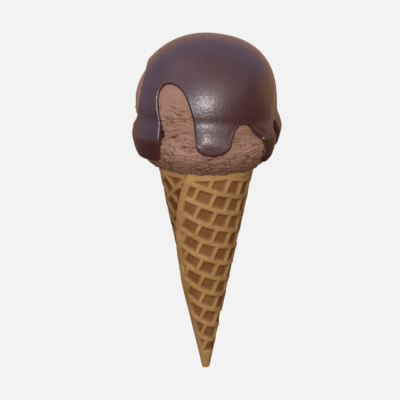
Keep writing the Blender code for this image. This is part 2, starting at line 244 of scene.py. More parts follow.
# %% Ice cream material
def churned_ice_cream():
    made, tree, shader = new_material("churned chocolate ice cream", Roughness=0.55, IOR=1.35)
    shader.inputs["Specular IOR Level"].default_value = 0.4
    shader.inputs["Subsurface Weight"].default_value = 0.15
    shader.inputs["Subsurface Radius"].default_value = (1.0, 0.5, 0.35)
    shader.inputs["Subsurface Scale"].default_value = 0.0012
    place = add_node(tree, "TexCoord").outputs["Object"]
    swirl = add_node(tree, "TexNoise", {"Scale": 70.0, "Detail": 2.0}, {"Vector": place})
    grain = add_node(tree, "TexNoise", {"Scale": 900.0, "Detail": 4.0, "Roughness": 0.6}, {"Vector": place})
    mixed = add_node(tree, "Math", {1: 0.5}, {0: swirl.outputs["Fac"]}, operation="MULTIPLY")
    tone = add_node(tree, "Math", {1: 0.5}, {0: grain.outputs["Fac"], 2: mixed.outputs[0]},
                    operation="MULTIPLY_ADD")
    even = ramp(tree, tone.outputs[0], (0.30, "86644D"), (0.70, "A17E67"))
    # Painted shade: the colour is mixed towards dark brown in the cracks and lower down under the overhang.
    painted_shade = add_node(tree, "Attribute", attribute_name="painted_shade").outputs["Fac"]
    shade = add_node(tree, "Math", {1: 0.75}, {0: painted_shade}, operation="MULTIPLY", use_clamp=True)
    colour = add_node(tree, "Mix", {"B": to_linear("5A3722")}, {"Factor": shade.outputs[0], "A": even},
                      data_type="RGBA")
    tree.links.new(colour.outputs["Result"], shader.inputs["Base Color"])
    ice = add_node(tree, "TexNoise", {"Scale": 1900.0, "Detail": 3.0}, {"Vector": place})
    bump = add_node(tree, "Bump", {"Strength": 0.30, "Distance": 0.0002}, {"Height": ice.outputs["Fac"]})
    tree.links.new(bump.outputs["Normal"], shader.inputs["Normal"])
    return made


# %% [markdown]
# ### Set chocolate coating
# The coating is melted chocolate that was poured on and set against the cold scoop. It is dark and
# satin: smooth enough to mirror a window as a soft patch, with a faint haze of fat and frost that
# breaks the patch up. So its roughness varies a little over a millimetre or two, and a very low
# bump wrinkles it.

# %% Chocolate material
def set_chocolate():
    made, tree, shader = new_material("set chocolate coating", IOR=1.48)
    shader.inputs["Specular IOR Level"].default_value = 0.8
    place = add_node(tree, "TexCoord").outputs["Object"]
    haze = add_node(tree, "TexNoise", {"Scale": 900.0, "Detail": 4.0, "Roughness": 0.65}, {"Vector": place})
    rough = add_node(tree, "MapRange", {"From Min": 0.3, "From Max": 0.7, "To Min": 0.27, "To Max": 0.48},
                     {"Value": haze.outputs["Fac"]})
    tree.links.new(rough.outputs["Result"], shader.inputs["Roughness"])
    cloud = add_node(tree, "TexNoise", {"Scale": 60.0, "Detail": 3.0}, {"Vector": place})
    colour = ramp(tree, cloud.outputs["Fac"], (0.35, "3A1F19"), (0.65, "46271F"))
    tree.links.new(colour, shader.inputs["Base Color"])
    ripple = add_node(tree, "TexNoise", {"Scale": 1000.0, "Detail": 3.0}, {"Vector": place})
    bump = add_node(tree, "Bump", {"Strength": 0.40, "Distance": 0.0003}, {"Height": ripple.outputs["Fac"]})
    tree.links.new(bump.outputs["Normal"], shader.inputs["Normal"])
    return made


# %% [markdown]
# ## The wafer: stamped flat, then rolled
# A real waffle cone is baked as a flat sheet and rolled round a mandrel while it is hot. It could
# be modelled on the finished cone, but then the rows of pockets would have to be bent by hand. Here
# it is made as the baker makes it. The flat sheet is a grid whose lines run along the rows of
# pockets, its vertices are pressed down where the iron's studs were, and one mapping rolls it up.
# On the flat sheet the sharp point is the origin, and a point's distance from there, its slant,
# stays the same when the sheet is rolled.

# %% Driving sizes of the wafer
HALF_ANGLE = math.radians(11.2)
TIP_END = 9.5                               # slant at which the blunt tip is cut square
TIP_ROUND = 0.8                             # radius of the tip's edge
MOUTH = 124.0
SHEET = 1.4
LAP = 0.12                                  # turns by which the sheet's hidden end runs under
EASE_AFTER = 0.20                           # turns in which the outer lap settles onto the cone
EASE_BEFORE = 0.12                          # turns in which the inner lap dips to pass under it
FLAP_LOW = math.radians(-76)                # azimuth of the outer lap's edge near the tip
FLAP_SWEEP = math.radians(54)
FLAP_START = 45.0
FLAP_END = 117.5

PITCH_ALONG = 8.4                           # pockets: spacing along a row, and from row to row
PITCH_ACROSS = 8.5
CELLS = 21                                  # cells of the grid to one pitch
BOND_CELLS = 10                             # each row is shifted by this many cells
POCKET_HALF = Vector((3.35, 3.15))
POCKET_CORNER = 0.7
POCKET_WALL = 1.25                          # width of the drafted wall, seen from above
POCKET_DEEP = 1.20
ROW_SLOPE = math.radians(-22.5)
FIRST_POCKET = Vector((-1.0, 105.9))
FLAP_BORDER = 3.4                           # plain margins
MOUTH_BORDER = 9.6
TIP_BORDER = 12.0


def flap_azimuth(slant):
    """Azimuth of the outer lap's edge; the baked edge wanders by a few tenths of a millimetre."""
    swing = max(slant - FLAP_START, 0.0) / (FLAP_END - FLAP_START)
    wander = 0.3 * noise.noise((slant / 5.0, 3.0, 0.0)) / max(slant * math.sin(HALF_ANGLE), 3.0)
    return FLAP_LOW + FLAP_SWEEP * swing ** 1.6 + wander


def thickness(slant):
    """The sheet is pressed thin towards the tip."""
    return lerp(0.3, SHEET, smooth((slant - 9.0) / 32.0))


# %% [markdown]
# ### Where the sheet ends
# The sheet has four sides: the flap's edge, which shows on the front; the far end, which runs
# under the flap; a small cut at the tip; and the mouth, hidden in the scoop. A point's margins are
# its distances inside those four sides.

# %% Margins of the sheet
ROUND_FROM = TIP_END + TIP_ROUND * math.tan((math.pi / 2 - HALF_ANGLE) / 2)
ROUND_LENGTH = TIP_ROUND * (math.pi / 2 - HALF_ANGLE)
DISC_RADIUS = TIP_END * math.sin(HALF_ANGLE) - (ROUND_FROM - TIP_END)
PIN_HOLE = 0.12                             # a rolled tip closes round a hole as fine as a pin
TIP_START = ROUND_FROM - ROUND_LENGTH - (DISC_RADIUS - PIN_HOLE)


def turns_from_flap(slant, bearing):
    """Turns from the flap's edge to a point, whose bearing is its angle from +Y on the flat sheet."""
    return (bearing / math.sin(HALF_ANGLE) - flap_azimuth(slant)) / math.tau


def margins(point):
    slant = point.xy.length
    turn = turns_from_flap(slant, math.atan2(point.x, point.y))
    circumference = math.tau * slant * math.sin(HALF_ANGLE)
    return [turn * circumference, (1 + LAP - turn) * circumference, slant - TIP_START, MOUTH - slant]


def onto_nearest_side(point):
    """The point moved onto the side of the sheet that it is nearest to."""
    distances = [abs(margin) for margin in margins(point)]
    side = distances.index(min(distances))
    slant = point.xy.length
    if side >= 2:
        return point * ((TIP_START, MOUTH)[side - 2] / slant)
    turn = (0.0, 1 + LAP)[side]
    bearing = (flap_azimuth(slant) + turn * math.tau) * math.sin(HALF_ANGLE)
    return Vector((slant * math.sin(bearing), slant * math.cos(bearing), point.z))


# %% [markdown]
# ### The stamp
# The iron's studs stand in rows, shifted by half a stud from row to row like bricks. Each leaves a
# pocket with a flat floor, drafted walls and rounded corners. Where a pocket would cross a plain
# margin it is cut off along the margin. The stamp gives one number, how far a point is into a
# pocket, from 0 to 1. Both the depth and the colour follow it.

# %% How deep the iron presses
ALONG = Vector((math.cos(ROW_SLOPE), math.sin(ROW_SLOPE)))
DOWN = Vector((math.sin(ROW_SLOPE), -math.cos(ROW_SLOPE)))


def inside_stud(across, down):
    """Distance of a point inside a stud's rounded rectangle, negative outside."""
    over = Vector((abs(across), abs(down))) - POCKET_HALF + Vector((POCKET_CORNER, POCKET_CORNER))
    corner = Vector((max(over.x, 0.0), max(over.y, 0.0))).length
    return POCKET_CORNER - corner - min(max(over.x, over.y), 0.0)


def stamp(point):
    """How far a point is into a pocket, 0 on a rib and 1 on a floor."""
    offset = point.xy - FIRST_POCKET
    down = offset.dot(DOWN)
    row = round(down / PITCH_ACROSS)
    across = offset.dot(ALONG) - row * BOND_CELLS * PITCH_ALONG / CELLS
    column = round(across / PITCH_ALONG)
    inside = inside_stud(across - column * PITCH_ALONG, down - row * PITCH_ACROSS)
    flap, hidden_end, tip, mouth = margins(point)
    inside = min(inside, flap - FLAP_BORDER, tip - TIP_BORDER, mouth - MOUTH_BORDER)
    return smooth(inside / POCKET_WALL + 0.25)


# %% [markdown]
# ### Cutting and stamping the flat sheet
# The grid starts as one operator. Cells outside the sheet are deleted and the ragged rim is moved
# onto the four sides. Extruding the rim gives the sheet its thickness, and the whole underside is
# one big face. That face is then bisected by lines through the sharp point, so that it becomes
# narrow strips that roll without denting; nobody sees it, and it stays cheap.

# %% The flat sheet
COLUMNS = (-42, 352)                        # first and last grid line, counted from the first pocket
ROWS = (-70, 246)
UNDER_BEARINGS = range(-16, 78)             # the underside is cut along these bearings, in degrees,
UNDER_SLANTS = (14, 22, 34, *range(44, 124, 5))    # and across, square to the middle one, at these slants
UNDER_MIDDLE = math.radians(30)


def flat_sheet():
    bm = bmesh.new()
    columns = COLUMNS[1] - COLUMNS[0]
    rows = ROWS[1] - ROWS[0]
    bmesh.ops.create_grid(bm, x_segments=columns, y_segments=rows, size=0.5)
    for vert in bm.verts:
        across = (COLUMNS[0] + (vert.co.x + 0.5) * columns + 0.5) * PITCH_ALONG / CELLS
        down = (ROWS[0] + (0.5 - vert.co.y) * rows + 0.5) * PITCH_ACROSS / CELLS
        vert.co = (FIRST_POCKET + across * ALONG + down * DOWN).to_3d()
    outside = [face for face in bm.faces if min(margins(face.calc_center_median())) < 0]
    bmesh.ops.delete(bm, geom=outside, context="FACES")
    for vert in bm.verts:
        if vert.is_boundary:
            vert.co = onto_nearest_side(vert.co)
    return bm


def add_underside(bm):
    """Give the stamped sheet its thickness and a smooth underside in narrow strips."""
    rim = [edge for edge in bm.edges if edge.is_boundary]
    new = bmesh.ops.extrude_edge_only(bm, edges=rim)["geom"]
    under_rim = [item for item in new if isinstance(item, bmesh.types.BMEdge) and item.is_boundary]
    for vert in {vert for edge in under_rim for vert in edge.verts}:
        vert.co.z = -SHEET
    underside = bmesh.ops.contextual_create(bm, geom=under_rim)["faces"]
    cuts = [(math.cos(math.radians(bearing)), -math.sin(math.radians(bearing)), 0.0, 0.0)
            for bearing in UNDER_BEARINGS]
    middle = Vector((math.sin(UNDER_MIDDLE), math.cos(UNDER_MIDDLE), 0.0))
    cuts += [(*middle, slant) for slant in UNDER_SLANTS]
    for x, y, z, away in cuts:
        faces = [face for face in bm.faces if all(abs(vert.co.z + SHEET) < 1e-4 for vert in face.verts)]
        geom = faces + list({edge for face in faces for edge in face.edges})
        geom += list({vert for face in faces for vert in face.verts})
        normal = Vector((x, y, z))
        bmesh.ops.bisect_plane(bm, geom=geom, plane_co=normal * away, plane_no=normal, dist=1e-4)
    return underside


# %% [markdown]
# ### Rolling it up
# Rolling turns a bearing on the flat sheet into an azimuth round the cone: a full turn takes only
# the sine of the half angle of a full circle. The height above the flat sheet becomes a height
# along the cone's normal. The outer lap stands half a sheet proud at its edge and settles over a
# fifth of a turn, and the inner lap dips by the other half to pass under it. At the tip the
# surface turns in over a small round to a blunt end.

# %% The rolling
FLAP_LIFT = 0.75                            # the flap's edge has sprung up a little as it cooled


def lap_offset(slant, turn):
    """How far the sheet's upper side stands off the plain cone."""
    thick = thickness(slant)
    lift = FLAP_LIFT * smooth((slant - 30.0) / 30.0) * (1 - smooth(turn / 0.05))
    if turn < 0.5:
        return 0.5 * thick * (1 - smooth(turn / EASE_AFTER)) + lift
    if turn < 1:
        return -0.5 * thick * (1 - smooth((1 - turn) / EASE_BEFORE))
    over = 0.5 * thick * (1 - smooth((turn - 1) / EASE_AFTER))
    return over - thick - 0.20 * smooth((turn - 1) / 0.03)


def cone_line(slant):
    """Radius, height and outward direction on the cone's outline, with its blunt rounded tip."""
    if slant >= ROUND_FROM:
        return slant * math.sin(HALF_ANGLE), slant * math.cos(HALF_ANGLE), HALF_ANGLE
    turned = min((ROUND_FROM - slant) / TIP_ROUND, math.pi / 2 - HALF_ANGLE)
    lean = HALF_ANGLE + turned
    centre_radius = DISC_RADIUS
    centre_height = TIP_END * math.cos(HALF_ANGLE) + TIP_ROUND
    radius = centre_radius + TIP_ROUND * math.cos(lean)
    height = centre_height - TIP_ROUND * math.sin(lean)
    inward = max(ROUND_FROM - ROUND_LENGTH - slant, 0.0)
    return radius - inward, height, lean


def rolled(point):
    slant = point.xy.length
    bearing = math.atan2(point.x, point.y)
    radius, height, lean = cone_line(slant)
    lift = point.z + lap_offset(slant, turns_from_flap(slant, bearing))
    azimuth = bearing / math.sin(HALF_ANGLE)
    return around(radius + lift * math.cos(lean), azimuth, height - lift * math.sin(lean))


# %% [markdown]
# ### Uneven baking, and painted shade
# No iron heats evenly, so the plain border at the mouth is paler. Painted shade darkens the strip of
# the inner lap beside the flap's edge, the sides and the back of the cone, and the upper walls of the
# pockets. All of this is added to "pressed", which the wafer's colour reads.

# %% Make the wafer
# Painted shade and shadow in the wafer's colour: beside the flap's edge, on the sides and back, and on the
# pockets' upper walls. The paler mouth comes from uneven baking.
LAP_PAINTED_SHADOW = 0.35
SIDE_PAINTED_SHADE = 0.32
WALL_PAINTED_SHADOW = 0.8
WALL_REACH = 0.6                            # millimetres down the sheet to look for a pocket's floor
MOUTH_PALENESS = 0.28


def wafer_relief(point, pressed):
    """Height of the stamped upper side: pockets, rounded edges, and an uneven, crumbly baked surface."""
    flap, hidden_end, tip, mouth = margins(point)
    thick = thickness(point.xy.length)
    edge = max(0.5 - min(flap, hidden_end), 0.0)
    rounding = 0.5 - math.sqrt(max(0.25 - edge ** 2, 0.0))
    waves = 0.14 * noise.noise(point / 9.0) + 0.05 * noise.noise(point / 2.2 + Vector((7, 3, 1)))
    crumb = 0.05 * noise.noise(point / 0.7)
    return -POCKET_DEEP * thick / SHEET * pressed - rounding + (waves + crumb) * thick / SHEET


def browning_and_painted_shade(point, depth):
    """How dark a point of the flat sheet is: its depth in a pocket, the uneven baking, and painted shade."""
    slant = point.xy.length
    bearing = math.atan2(point.x, point.y)
    # Painted shadow: a pocket's upper wall, which the rib above it shades, is made darker.
    upper_wall = max(stamp(point * (1 - WALL_REACH / slant)) - depth, 0.0)
    from_front = 1 - math.cos(bearing / math.sin(HALF_ANGLE))
    brown = depth + WALL_PAINTED_SHADOW * upper_wall
    # Painted shadow: the inner lap beside the flap's edge is made darker.
    brown += LAP_PAINTED_SHADOW * hump(turns_from_flap(slant, bearing), 1.0, 0.10)
    # Painted shade: the sides and the back of the cone, which turn from the light, are made darker.
    brown += SIDE_PAINTED_SHADE * smooth(1.25 * from_front - 0.3)
    return brown - MOUTH_PALENESS * smooth((slant - MOUTH + 16) / 10)


def make_wafer():
    bm = flat_sheet()
    sheet = bm.verts.layers.float_vector.new("sheet")
    pressed = bm.verts.layers.float.new("pressed")
    for vert in bm.verts:
        depth = stamp(vert.co)
        # The colour attribute gets the pocket's depth, the uneven baking and the painted shade.
        vert[pressed] = browning_and_painted_shade(vert.co, depth)
        vert.co.z = wafer_relief(vert.co, depth)
    add_underside(bm)
    bmesh.ops.recalc_face_normals(bm, faces=bm.faces)
    flat_under = []
    for vert in bm.verts:
        vert[sheet] = Vector((vert.co.x, vert.co.y, 0.0))
        if abs(vert.co.z + SHEET) < 1e-4:
            flat_under.append(vert)
    for vert in flat_under:
        vert.co.z = -thickness(vert.co.xy.length)
    for vert in bm.verts:
        vert.co = rolled(vert.co)
    return hand_over(bm, "waffle_cone", "wafer_cone", baked_wafer())


make_wafer()

# %% [markdown]
# ## The scoop
# A scoop pushed down into a cone is a ball with a collar squeezed out under it. Its outline is
# turned round the cone's axis with spin, and the turned shape is then made uneven and torn. It
# could also be sculpted from a sphere, but the outline is where the crease and the overhang are
# decided, and spin keeps both. Below the collar the outline goes into the cone as a plug, with a
# groove for the wafer's rim.

# %% Driving sizes of the scoop
BALL_Z = 144.5
BALL_R = 31.7
BALL_FLAT = 1.3                             # the top is this much lower than a true ball
SHOULDER = 1.3                              # the scoop is fuller high on its right
COLLAR_R = 32.85
CREASE_DROP = 10.5
CREASE_DIP = 1.0
EDGE_WAVE = 0.2
PLUG_END = 21.2                             # the plug ends this far above the sharp point
PLUG_INSET = 3.3                            # from the cone's surface to the plug
SKIN_DROP = 29.2                            # down to here, and out from the plug, the scoop is torn
SKIN_RADIUS = 22.3
# The collar's outline as (part of COLLAR_R, drop from the ball's centre). The coating doesn't go
# into the crease: it runs down the bridge instead of the collar's top.
COLLAR_TOP = [(0.955, 11.7), (0.985, 13.2), (1.0, 15.6), (0.992, 18.2)]
BRIDGE = [(0.963, 6.2), (0.983, 8.6), (1.002, 11.0), (1.008, 12.6), (1.003, 14.4), (0.990, 16.8)]
COLLAR_SKIRT = [(0.965, 20.8), (0.915, 23.4), (0.850, 25.7), (0.770, 27.9), (0.705, 29.3)]
# Where the ball is fuller or flatter: azimuth, height, half width, half height, and by how much.
SWELLS = [(-88, 2, 14.0, 10.0, 1.2), (-95, 22, 12.0, 8.0, 0.2), (82, -1, 9.0, 9.0, -1.4)]


def ball_radius(angle):
    return BALL_R - BALL_FLAT * max(math.cos(angle), 0.0) ** 3


def outline_points(with_crease=True):
    """Outline of the ball and the collar, as (radius, height), from the top down to the lower lip."""
    crease = math.acos(-CREASE_DROP / BALL_R)
    angles = [crease * step / 18 for step in range(19 if with_crease else 17)]
    points = [Vector((ball_radius(a) * math.sin(a), BALL_Z + ball_radius(a) * math.cos(a))) for a in angles]
    for part, drop in (COLLAR_TOP if with_crease else BRIDGE) + COLLAR_SKIRT:
        points.append(Vector((part * COLLAR_R, BALL_Z - drop)))
    return points


def mound(azimuth, height, middle, level, half_width, half_height):
    """A bell of height 1 round a place on the scoop, given in degrees and millimetres."""
    across = ((azimuth - middle + 180) % 360 - 180) * math.radians(BALL_R)
    return math.exp(-(across / half_width) ** 2 - ((height - level) / half_height) ** 2)


def uneven(point):
    """Move a point of the turned scoop or coating to where the uneven scoop has it."""
    flat = Vector((point.x, point.y, 0))
    drop = BALL_Z - point.z
    if flat.length < 20.5 and drop > 0:
        return point
    azimuth = math.atan2(point.x, -point.y)
    lean = max(math.sin(azimuth), 0.0) ** 1.5
    from_top = math.atan2(flat.length, -drop)
    outward = (point - Vector((0, 0, BALL_Z))).normalized()
    moved = point + outward * (SHOULDER * lean * hump(from_top, math.radians(48), math.radians(42)))
    for *place, amount in SWELLS:
        moved += outward * (amount * mound(math.degrees(azimuth), -drop, *place))
    wave = math.sin(3 * azimuth + 0.6) + 0.6 * math.sin(5 * azimuth + 2.1) + 0.4 * math.sin(9 * azimuth)
    on_collar = smooth((drop - 8) / 8)
    moved += flat.normalized() * (0.3 * wave * on_collar)
    moved.x += 0.2 * on_collar
    moved.z -= CREASE_DIP * math.cos(azimuth + math.radians(5)) * hump(drop, CREASE_DROP + 2, 9)
    moved.z += EDGE_WAVE * math.cos(2 * azimuth) * smooth((drop - 18) / 12)
    return moved


# %% [markdown]
# ### Tears and ledges
# A cold scoop is dragged through hard ice cream, and its skin tears into short ledges and cracks
# that run round it, with crumbs on the collar and a ragged lower lip. They are real relief here:
# noise that is stretched round the scoop is turned into thin cracks where it crosses zero, and into
# ledges by a sawtooth over the height. A slow noise decides where there are many. The colour gets
# painted shade: it darkens with how deep in a crack a point is, and more slowly lower down on the
# collar, under the overhang.

# %% The torn skin
def layered(point, climb, wide, high, seed):
    """Noise that is stretched round the scoop; it has no seam, because it is read in space."""
    return noise.noise(Vector((point.x / wide, point.y / wide, climb / high + seed)))


def torn(point):
    """Height of the scoop's skin at a point, in millimetres, and its painted shade."""
    azimuth = math.atan2(point.x, -point.y)
    drop = BALL_Z - point.z
    on_collar = smooth((drop - 11) / 4)
    climb = point.z - 9.0 * (1 - math.cos(azimuth)) * on_collar
    belt = max(smooth((drop + 5) / 6), 0.0)
    many = belt * smooth(0.75 + 1.6 * layered(point, climb, 10.0, 5.0, 2.0))
    many = max(many, on_collar * smooth(0.95 + 1.2 * layered(point, climb, 9.0, 4.0, 7.0)))
    stretch = layered(point, climb, 3.4, 0.95, 4.0) + 0.3 * layered(point, climb, 2.0, 0.6, 8.0)
    crack = smooth(1 - abs(stretch) / 0.15) * smooth(0.5 + 2.5 * layered(point, climb, 5.0, 2.5, 11.0))
    phase = climb / 2.1 + 1.2 * layered(point, climb, 7.0, 4.0, 15.0)
    ledge = (1 - (phase - math.floor(phase))) ** 2 - 0.33
    lumps = 0.30 * noise.noise(point / 14) + 0.14 * noise.noise(point / 4)
    crumbs = 0.14 * layered(point, climb, 1.0, 0.7, 20.0)
    lip = smooth((drop - 25.0) / 3.5)
    ragged = 0.5 * layered(point, point.z, 2.6, 2.0, 30.0) + 0.35 * layered(point, point.z, 1.1, 1.0, 31.0)
    height = lumps + many * (0.85 * ledge - 1.05 * crack + 1.3 * crumbs) + lip * ragged
    # Painted shade: darker lower down on the collar and at the lower lip, under the overhang, and in the
    # cracks.
    shaded = 0.12 * lip + 0.55 * smooth((drop - 14) / 10)
    return height, 1.3 * many * crack + shaded


# %% Make the scoop
ROUND_STEPS = 372


def make_scoop():
    coarse = smooth_line(outline_points(), 0.3)
    outline = []
    for point in coarse:
        drop = BALL_Z - point.y
        if not outline or drop > -21 or (point - outline[-1]).length > 1.6:
            outline.append(point)
    outline[0].x = 0.0
    groove = [MOUTH * math.cos(HALF_ANGLE) + 0.6, 0.5 * MOUTH, PLUG_END]
    outline.append(Vector((groove[0] * math.tan(HALF_ANGLE) - 0.3, groove[0])))
    for height in groove:
        outline.append(Vector((height * math.tan(HALF_ANGLE) - PLUG_INSET, height)))
    outline.append(Vector((0.0, groove[-1])))
    bm = bmesh.new()
    # Painted shade for the colour, darker in cracks and under the overhang.
    painted_shade = bm.verts.layers.float.new("painted_shade")
    verts = [bm.verts.new((point.x, 0, point.y)) for point in outline]
    edges = [bm.edges.new(pair) for pair in zip(verts, verts[1:])]
    bmesh.ops.spin(bm, geom=verts + edges, cent=(0, 0, 0), axis=(0, 0, 1), angle=math.tau,
                   steps=ROUND_STEPS, use_merge=True)
    bmesh.ops.remove_doubles(bm, verts=bm.verts, dist=1e-4)
    bmesh.ops.recalc_face_normals(bm, faces=bm.faces)
    skin = [vert for vert in bm.verts
            if vert.co.z > BALL_Z - SKIN_DROP and vert.co.xy.length > SKIN_RADIUS]
    for vert in bm.verts:
        vert.co = uneven(vert.co)
    bm.normal_update()
    # The skin's relief, and the painted shade that darkens cracks and the collar's underside.
    lifts = [(vert, vert.normal.copy(), *torn(vert.co)) for vert in skin]
    for vert, normal, height, depth in lifts:
        vert.co += normal * height
        vert[painted_shade] = depth
    return hand_over(bm, "scoop", "ice_cream", churned_ice_cream())


make_scoop()

# %% [markdown]
# ## The coating
# Poured chocolate spreads as a film of even thickness, gathers in drips, and sets with a round lip
# along its edge. One line round the scoop says where the film ends; where it runs down there is a
# drip, and where it climbs there is a window of bare ice cream. The film starts as an icosphere,
# whose triangles are even all over, also at the top. Its directions from the ball's centre are
# mapped onto the scoop, the triangles outside the line are deleted, and the rest is lifted by the
# film's thickness, which falls to the ice cream in a round lip near the line.

# %% Where the coating ends
# Azimuth in degrees and height from the ball's centre, once round the scoop from the back.
COAT_EDGE = [
    (-172, -9.0), (-165, -6.2), (-161, -1), (-156, 1.4), (-152, -2), (-149.5, -10), (-147, -17),
    (-141, -20.6), (-135, -18), (-131, -11), (-126, -3), (-118, 5), (-108, 14), (-98, 18.4), (-87, 19.3),
    (-76, 17.6), (-67, 13), (-64.5, 6), (-67, -1), (-74, -6), (-86, -9.5), (-97, -13), (-99, -18.5),
    (-92, -22.3), (-78, -23.4), (-60, -23.2), (-47, -22.6), (-41.5, -20.4), (-39, -14.5), (-38.5, -9),
    (-39.3, -4.5), (-40.8, 0), (-42, 6.5), (-40.2, 10), (-36.5, 11.9), (-31, 12.4), (-25, 11.6),
    (-19, 9.3), (-15, 5.7), (-12, 1.1), (-10, -3.7), (-8.5, -9.6), (-7.4, -14.0), (-4.4, -16.6),
    (1.5, -17.9), (8, -17.7), (13.6, -16.3), (17.2, -13.9), (19.3, -10.9), (22.2, -7.6), (26.4, -5.7),
    (31, -5.4), (36, -6.6), (42, -9.8), (47.5, -12.6), (50.6, -16.6), (51, -21), (54.5, -24.2),
    (60, -24.6), (64.5, -22), (65.6, -17), (64.6, -12), (66.8, -9.2), (73, -7.6), (80, -8.2), (84, -12),
    (86.5, -16), (90, -19.2), (94.5, -20.6), (100, -19.4), (105, -15), (108, -8), (109.5, -2), (112, 2.4),
    (115.5, 3.2), (118, -1), (119.5, -8), (122, -16), (126, -20.3), (132, -21), (138, -17), (141.5, -9),
    (145, -1), (151, 3.2), (157, 0.5), (161, -5), (168, -8.6), (178, -9.6),
]
EDGE_STEP = 0.25
CENTRE = Vector((0, 0, BALL_Z))


def radii_by_angle(with_crease):
    """Distance from the ball's centre to the scoop's outline, for every half degree from the top."""
    table = []
    for point in smooth_line(outline_points(with_crease), 0.1):
        arm = point - Vector((0, BALL_Z))
        table.append((math.degrees(math.atan2(arm.x, arm.y)), arm.length))
    radii = []
    place = 0
    for half in range(2 * 140):
        while place < len(table) - 2 and table[place + 1][0] < half / 2:
            place += 1
        (a, r_a), (b, r_b) = table[place], table[place + 1]
        radii.append(lerp(r_a, r_b, min(max((half / 2 - a) / max(b - a, 1e-6), 0), 1)))
    return radii


SCOOP_RADII = radii_by_angle(True)
FILLED_RADII = radii_by_angle(False)


def read_radius(radii, angle):
    """Radius at an angle from the top, in degrees."""
    place = min(max(angle * 2, 0.0), len(radii) - 1.001)
    low = int(place)
    return lerp(radii[low], radii[low + 1], place - low)


def on_scoop(direction, fill=0.0):
    """The scoop's surface in a direction from the ball's centre; fill bridges the crease."""
    angle = math.degrees(direction.angle(Vector((0, 0, 1))))
    reach = lerp(read_radius(SCOOP_RADII, angle), read_radius(FILLED_RADII, angle), fill)
    return uneven(CENTRE + direction * reach)


def edge_direction(azimuth, height):
    """Direction from the ball's centre to a point of the coating's outside at this height."""
    radius = math.sqrt(33.0 ** 2 - max(height, -8.0) ** 2)
    radius += 1.9 * smooth((-8 - height) / 4) - 2.9 * smooth((-14 - height) / 10)
    return around(radius, math.radians(azimuth), height).normalized()


def coat_line():
    """The coating's edge on the scoop, as points with the direction that the line runs in."""
    controls = [Vector((azimuth * 0.576, height)) for azimuth, height in COAT_EDGE]
    first = controls[0] + Vector((360 * 0.576, 0))
    line = smooth_line(controls + [first], EDGE_STEP)[:-1]
    aims = [edge_direction(place.x / 0.576, place.y) for place in line]
    points = [on_scoop(aim) for aim in aims]
    runs = [(points[(i + 1) % len(points)] - points[i - 1]).normalized() for i in range(len(points))]
    return points, runs, aims


EDGE_POINTS, EDGE_RUNS, EDGE_AIMS = coat_line()
edge_tree = KDTree(len(EDGE_POINTS))
for index, point in enumerate(EDGE_POINTS):
    edge_tree.insert(point, index)
edge_tree.balance()
print("the coating's edge is", round(len(EDGE_POINTS) * EDGE_STEP), "mm long, more or less")


def from_edge(point):
    """Distance inside the coating's edge, negative outside, with the nearest edge point's index."""
    near, index, distance = edge_tree.find(point)
    outward = point - CENTRE
    inside = outward.cross(EDGE_RUNS[index]).dot(point - near)
    return math.copysign(distance, inside), index


# %% [markdown]
# ### How thick the film is
# The film is a little over a millimetre thick on the dome. It gathers at the lower ends of the
# drips, so each drip has a swelling there. Near its edge the film ends in a round lip that overhangs a
# little, as a liquid does on a surface that it doesn't wet: the distance to the edge is turned
# into an angle on a small circle, from under the overhang to the top of the lip.

# %% Lip and swellings
FILM = 1.35
LIP = 1.00                                  # radius of the lip's circle
LIP_BAND = 1.7                              # width of film that is drawn onto the lip
UNDERCUT = math.radians(40)
EMBED = 0.12
FAIR = 3.2                                  # distance in which the lip settles to the film
# Azimuth and height of each swelling, its half width and half height, and how much it adds.
# Azimuth, height from the ball's centre, half width, half height, and by how much.
SWELLINGS = [
    (-66, -11, 17.0, 6.0, 0.6), (-6, -9.3, 8.0, 3.9, 0.75), (58, -15, 6.0, 6.0, 0.4),
    (100, -9.5, 6.0, 8.0, 1.9), (101, 3, 5.0, 8.0, 0.7), (129, -15, 8.0, 7.0, 0.6),
    (-142, -15, 7.0, 7.0, 0.3), (180, -4, 13.0, 9.0, 1.2),
]


def film_thickness(point):
    azimuth = math.degrees(math.atan2(point.x, -point.y))
    height = point.z - BALL_Z
    thick = FILM + 0.10 * noise.noise(point / 11)
    for *place, more in SWELLINGS:
        thick += more * mound(azimuth, height, *place)
    return thick


def lift_film(place, near, distance, normal):
    """How far the film's outside is from a place on the scoop: lip near the edge, film further in."""
    angle = min(distance / LIP_BAND, 1.0) * (math.pi / 2 + UNDERCUT) - UNDERCUT
    height = LIP * (math.sin(UNDERCUT) + math.sin(angle)) - EMBED
    height = lerp(height, film_thickness(place), smooth((distance - 0.6 * LIP_BAND) / FAIR))
    drawn = LIP * (math.cos(UNDERCUT) - math.cos(angle)) - distance
    drawn *= 1 - smooth((distance - LIP_BAND) / LIP_BAND)
    return normal * height + (place - near).normalized() * drawn


# %% Make the coating
def refine(bm, aim, edges):
    """Halve these edges' triangles; a new vertex takes the middle direction from the ball's centre."""
    bmesh.ops.subdivide_edges(bm, edges=edges, cuts=1, use_grid_fill=True)
    for vert in bm.verts:
        vert[aim] = vert[aim].normalized()
        vert.co = on_scoop(vert[aim])


